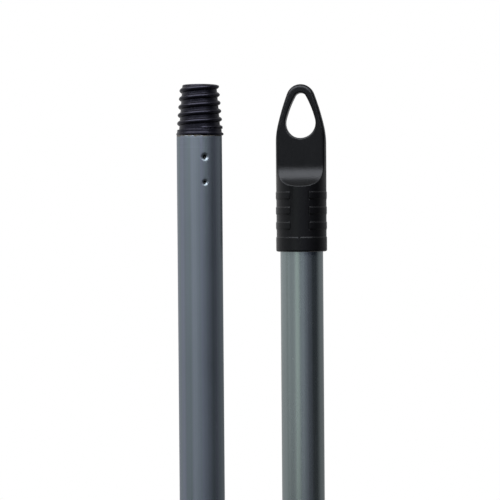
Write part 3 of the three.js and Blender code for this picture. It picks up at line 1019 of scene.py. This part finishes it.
def eye_cutter(shape):
    """A plug the shape of the eye that flares at both faces, so that it leaves round rims."""
    points, normals = eye_outline(shape)
    rim = shape.sizes.eye_rim
    flare = [(rim * (1 - math.cos(bend)), rim * (math.sin(bend) - 1)) for bend in RIM_BENDS]
    flare.append((rim * PLUG_FLARE, PLUG_PAST))

    def course(side, out, past):
        at = points + normals * out
        depth = side * (shape.half_depth(at[:, 1]) + past)
        return np.stack([at[:, 0], depth, at[:, 1]], axis=1)

    rings = [course(-1, *level) for level in flare[::-1]]
    rings.extend(course(1, *level) for level in flare)
    return lathe(rings)


def cap_material(finishes):
    """Moulded black plastic with a fine matt grain, drawn out a little along the cap, a parting
    line down each side and a few rubbed places."""
    shader = Surface("cap_plastic")
    y = shader.axes(shader.place)[1]
    grain = shader.noise(2000, roughness=0.6, stretch=(1, 1, 0.2))
    flow = shader.noise(150, stretch=(1, 1, 0.4))
    rubbed = shader.noise(380, detail=4, roughness=0.65).rise(0.62, 0.76)
    parting = 1 - abs(y).rise(*PARTING_ZONE)
    tint = 0.8 + grain * 0.25 + flow * 0.2 + rubbed * 0.35
    shader.set(
        Base_Color=shader.scaled(finishes.plastic_cap, tint),
        Roughness=0.34 + (flow - 0.5) * 0.10 - rubbed * 0.04,
        Specular_IOR_Level=0.24,
        Specular_Tint=CAP_SHEEN,
        Normal=shader.bump(grain + parting * PARTING_SHARE, CAP_GRAIN_HEIGHT),
    )
    return shader.material


class HANDLES_OT_hanging_caps(bpy.types.Operator):
    """Make the two hanging caps, with their ribs, thumb scoops and eyes"""

    bl_idname = "handles.hanging_caps"
    bl_label = "Hanging caps"

    def execute(self, context):
        material = cap_material(context.scene.handle_finishes)
        shape = CapShape(context.scene.handle_cap)
        meshed = cap_mesh(shape, context.scene.handle_tube)
        blank = new_piece("cap_blank", *meshed, material, Matrix())
        cutter = new_piece("cap_cutter", *eye_cutter(shape), material, Matrix())
        for piece in (blank, cutter):
            face_outwards(piece.data)
        cut = blank.modifiers.new("eye", "BOOLEAN")
        cut.operation = "DIFFERENCE"
        cut.solver = "EXACT"
        cut.object = cutter
        graph = context.evaluated_depsgraph_get()
        mesh = bpy.data.meshes.new_from_object(blank.evaluated_get(graph))
        for piece in (blank, cutter):
            bpy.data.objects.remove(piece)
        mesh.shade_smooth()
        for handle in "ab":
            cap = new_object(f"hanging_end_{handle}", mesh.copy())
            cap.matrix_world = cap_mouth(handle)
            stand_for(cap, f"handle_{handle}_hanging_cap", f"handle_{handle}")
        return {"FINISHED"}


def face_outwards(mesh):
    work = bmesh.new()
    work.from_mesh(mesh)
    bmesh.ops.recalc_face_normals(work, faces=work.faces)
    work.to_mesh(mesh)
    work.free()


# ---- stage


# The white backdrop's brightness in reflections, at its left and right. Along a unit direction's
# X it changes over the span, and along its Y, less a share of X, it comes in over the start.
BACKDROP_LEFT = 0.78
BACKDROP_RIGHT = 0.40
BACKDROP_SPAN = (-0.7, 0.7)
BACKDROP_START = (-0.3, 0.3)
BACKDROP_LEAN = 0.1
FILL = (0.008, 0.012, 0.028)
# The floor turns white between these distances, and this share of that shows in reflections.
WHITE_FLOOR = (0.55, 1.6)
FLOOR_SHARE = 0.7
FLOOR_SIZE = 24
FLOOR_PALE = (0.50, 0.50, 0.50)
FLOOR_DIM = (0.08, 0.08, 0.08)
# The panels shine on a point this far below the top.
LIT_BELOW_TOP = 0.1
CAMERA_SEES = (0.01, 50)


class SoftPanel(NamedTuple):
    """A lit panel, by the angles at which the object sees it. The bearing is from the front,
    towards +X, and across and upright are half its angles."""

    name: str
    bearing: float
    elevation: float
    across: float
    upright: float
    distance: float
    brightness: float
    tint: tuple = (1, 1, 1)


PANELS = (
    SoftPanel("overhead", -15, 55, 46, 22, 1.8, 6.5),
    SoftPanel("front_left", -50, -1.5, 34, 12, 2.2, 0.63, (0.97, 1, 0.98)),
    SoftPanel("accent", -27, -2.5, 12, 13, 2.1, 0.52, (0.90, 1, 0.86)),
    SoftPanel("front", -2, -2.5, 12, 13, 2.2, 0.57, (0.9, 0.92, 1)),
    SoftPanel("front_right", 18, -2.5, 10, 13, 2.2, 0.33, (0.84, 0.84, 1)),
    SoftPanel("right", 40, -2.5, 12, 13, 2.2, 0.12, (0.80, 0.80, 1)),
)


def hang_panel(panel, target):
    """Makes a panel that shines on the target and that the camera doesn't see."""
    lamp = bpy.data.lights.new(panel.name, "AREA")
    lamp.shape = "RECTANGLE"
    lamp.size = 2 * panel.distance * math.tan(math.radians(panel.across))
    lamp.size_y = 2 * panel.distance * math.tan(math.radians(panel.upright))
    lamp.energy = math.pi * lamp.size * lamp.size_y * panel.brightness
    lamp.color = panel.tint
    hung = new_object(panel.name, lamp)
    bearing, elevation = math.radians(panel.bearing), math.radians(panel.elevation)
    toward = Vector((math.sin(bearing), -math.cos(bearing), 0)) * math.cos(elevation)
    toward.z = math.sin(elevation)
    hung.location = Vector(target) + toward * panel.distance
    hung.visible_camera = False
    hung.rotation_mode = "QUATERNION"
    inward = Vector(target) - hung.location
    hung.rotation_quaternion = inward.to_track_quat("-Z", "Y")


def behind(shader, direction):
    """How much of the white backdrop lies in a direction, for what reflects it."""
    x, y, _ = shader.axes(direction)
    brightness = BACKDROP_LEFT + x.rise(*BACKDROP_SPAN) * (BACKDROP_RIGHT - BACKDROP_LEFT)
    return (y - x * BACKDROP_LEAN).rise(*BACKDROP_START) * brightness


def floor_material():
    """Pale to the camera, and white from a little way off. What the handles reflect of it is
    bright behind them and dim in front, as under a studio's overhead lamp."""
    shader = Surface("pale_floor")
    fine = shader.noise(60)
    camera, glossy = shader.rays()
    shader.set(
        Base_Color=shader.mix(FLOOR_DIM, FLOOR_PALE, camera),
        Roughness=0.75 + fine * 0.1,
    )
    away = shader.vector("LENGTH", {0: shader.place}, output="Value")
    toward = shader.vector("NORMALIZE", {0: shader.place})
    glow = shader.node("ShaderNodeEmission", inputs={"Color": (1, 1, 1), "Strength": 1.0})
    lit = Wire(shader, shader.principled.outputs[0])
    reflected = glossy * behind(shader, toward) * FLOOR_SHARE
    factor = away.rise(*WHITE_FLOOR) * (camera + reflected)
    mixed = shader.node("ShaderNodeMixShader", inputs={0: factor, 1: lit, 2: glow})
    shader.feed(shader.tree.nodes["Material Output"].inputs["Surface"], mixed)
    return shader.material


def white_world():
    """White to the camera, bright behind the handles to what reflects it, and a faint bluish
    fill for everything else."""
    world = bpy.data.worlds.new("studio")
    bpy.context.scene.world = world
    world.use_nodes = True
    shader = Shader(world.node_tree)
    camera, glossy = shader.rays()
    direction = shader.node("ShaderNodeTexCoord", output="Generated")
    seen = camera + (1 - camera) * glossy * behind(shader, direction)
    back = shader.tree.nodes["Background"]
    shader.feed(back.inputs["Color"], shader.mix(FILL, (1, 1, 1), seen))


class HANDLES_OT_stage(bpy.types.Operator):
    """Set the floor, the white surround, the panels and the camera"""

    bl_idname = "handles.stage"
    bl_label = "Stage"

    def execute(self, context):
        scene = context.scene
        sizes = scene.handle_stage
        scene.view_settings.view_transform = "Standard"
        white_world()

        x, y, _ = [(low + high) / 2 for low, high in zip(*CAD_BOX)]
        bpy.ops.mesh.primitive_plane_add(size=FLOOR_SIZE, location=(x, y, FLOOR_HEIGHT))
        floor = context.object
        floor.name = "floor"
        floor.data.materials.append(floor_material())

        top = BOX[TIP_A][1][2]
        for panel in PANELS:
            hang_panel(panel, (x, y, top - LIT_BELOW_TOP))

        optics = bpy.data.cameras.new("camera")
        optics.lens = sizes.camera_lens
        optics.clip_start, optics.clip_end = CAMERA_SEES
        camera = new_object("camera", optics)
        scene.camera = camera
        camera.location = (
            middle(TUBE_A, 0) + sizes.camera_aside,
            middle(TUBE_A, 1) - sizes.camera_distance,
            top - sizes.camera_below_tip,
        )
        tilt = Matrix.Rotation(math.pi / 2 + sizes.camera_pitch, 4, "X")
        roll = Matrix.Rotation(-sizes.camera_roll, 4, "Z")
        camera.rotation_mode = "QUATERNION"
        camera.rotation_quaternion = (tilt @ roll).to_quaternion()
        return {"FINISHED"}


class HANDLES_PT_pieces(bpy.types.Panel):
    """Lists what the handles are made of"""

    bl_idname = "HANDLES_PT_pieces"
    bl_label = "Tool handles"
    bl_space_type = "VIEW_3D"
    bl_region_type = "UI"
    bl_category = "Handles"

    def draw(self, context):
        for operator in OPERATORS:
            self.layout.operator(operator.bl_idname)


OPERATORS = (
    HANDLES_OT_stage,
    HANDLES_OT_tubes,
    HANDLES_OT_threaded_tips,
    HANDLES_OT_hanging_caps,
)
GROUPS = {
    "handle_tube": TubeSizes,
    "handle_tip": TipSizes,
    "handle_cap": CapSizes,
    "handle_finishes": Finishes,
    "handle_stage": StageSizes,
}
CLASSES = (*GROUPS.values(), *OPERATORS, HANDLES_PT_pieces)


def register():
    for one in CLASSES:
        bpy.utils.register_class(one)
    for name, group in GROUPS.items():
        setattr(bpy.types.Scene, name, bpy.props.PointerProperty(type=group))


def unregister():
    for name in GROUPS:
        delattr(bpy.types.Scene, name)
    for one in reversed(CLASSES):
        bpy.utils.unregister_class(one)


def main():
    register()
    bpy.ops.handles.stage()
    bpy.ops.handles.tubes()
    bpy.ops.handles.threaded_tips()
    bpy.ops.handles.hanging_caps()


if __name__ == "__main__":
    main()
